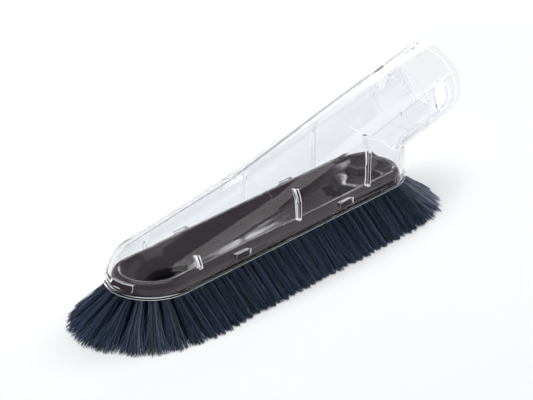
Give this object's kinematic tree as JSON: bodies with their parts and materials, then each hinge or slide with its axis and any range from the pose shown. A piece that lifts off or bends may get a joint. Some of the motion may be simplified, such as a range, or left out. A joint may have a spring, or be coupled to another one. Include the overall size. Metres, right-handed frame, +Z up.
{
  "type": "vacuum dusting brush",
  "caption": "Long soft dusting brush with a clear arched housing, an angled round socket tube for a vacuum wand, and splayed bristles all round its suction base.",
  "frame": {"origin": "on the surface the brush rests on, under the middle of its length", "axes": "+X along the brush from its nose towards its socket tube, +Y across it, +Z up from the bristle tips to the housing"},
  "size_m": [0.2403, 0.0632, 0.0731],
  "materials": {
    "clear_housing": "clear polished polycarbonate",
    "base": "glossy moulded, warm grey",
    "bristle": "fine soft nylon filaments, dark navy",
    "anchor": "plain stamped strip"
  },
  "bodies": {
    "root": {"housing": "clear_housing", "base": "base", "outer_anchors": "anchor", "inner_anchors": "anchor", "outer_tufts_01": "bristle", "outer_tufts_02": "bristle", "outer_tufts_03": "bristle", "outer_tufts_04": "bristle", "outer_tufts_05": "bristle", "outer_tufts_06": "bristle", "outer_tufts_07": "bristle", "outer_tufts_08": "bristle", "outer_tufts_09": "bristle", "outer_tufts_10": "bristle", "outer_tufts_11": "bristle", "outer_tufts_12": "bristle", "outer_tufts_13": "bristle", "outer_tufts_14": "bristle", "outer_tufts_15": "bristle", "outer_tufts_16": "bristle", "outer_tufts_17": "bristle", "outer_tufts_18": "bristle", "outer_tufts_19": "bristle", "outer_tufts_20": "bristle", "outer_tufts_21": "bristle", "outer_tufts_22": "bristle", "outer_tufts_23": "bristle", "outer_tufts_24": "bristle", "outer_tufts_25": "bristle", "outer_tufts_26": "bristle", "outer_tufts_27": "bristle", "outer_tufts_28": "bristle", "inner_tufts_01": "bristle", "inner_tufts_02": "bristle", "inner_tufts_03": "bristle", "inner_tufts_04": "bristle", "inner_tufts_05": "bristle", "inner_tufts_06": "bristle", "inner_tufts_07": "bristle", "inner_tufts_08": "bristle", "inner_tufts_09": "bristle", "inner_tufts_10": "bristle", "inner_tufts_11": "bristle", "inner_tufts_12": "bristle", "inner_tufts_13": "bristle", "inner_tufts_14": "bristle", "inner_tufts_15": "bristle", "inner_tufts_16": "bristle", "inner_tufts_17": "bristle", "inner_tufts_18": "bristle", "inner_tufts_19": "bristle", "inner_tufts_20": "bristle", "inner_tufts_21": "bristle", "inner_tufts_22": "bristle", "inner_tufts_23": "bristle", "inner_tufts_24": "bristle", "inner_tufts_25": "bristle", "inner_tufts_26": "bristle"}
  },
  "joints": []
}
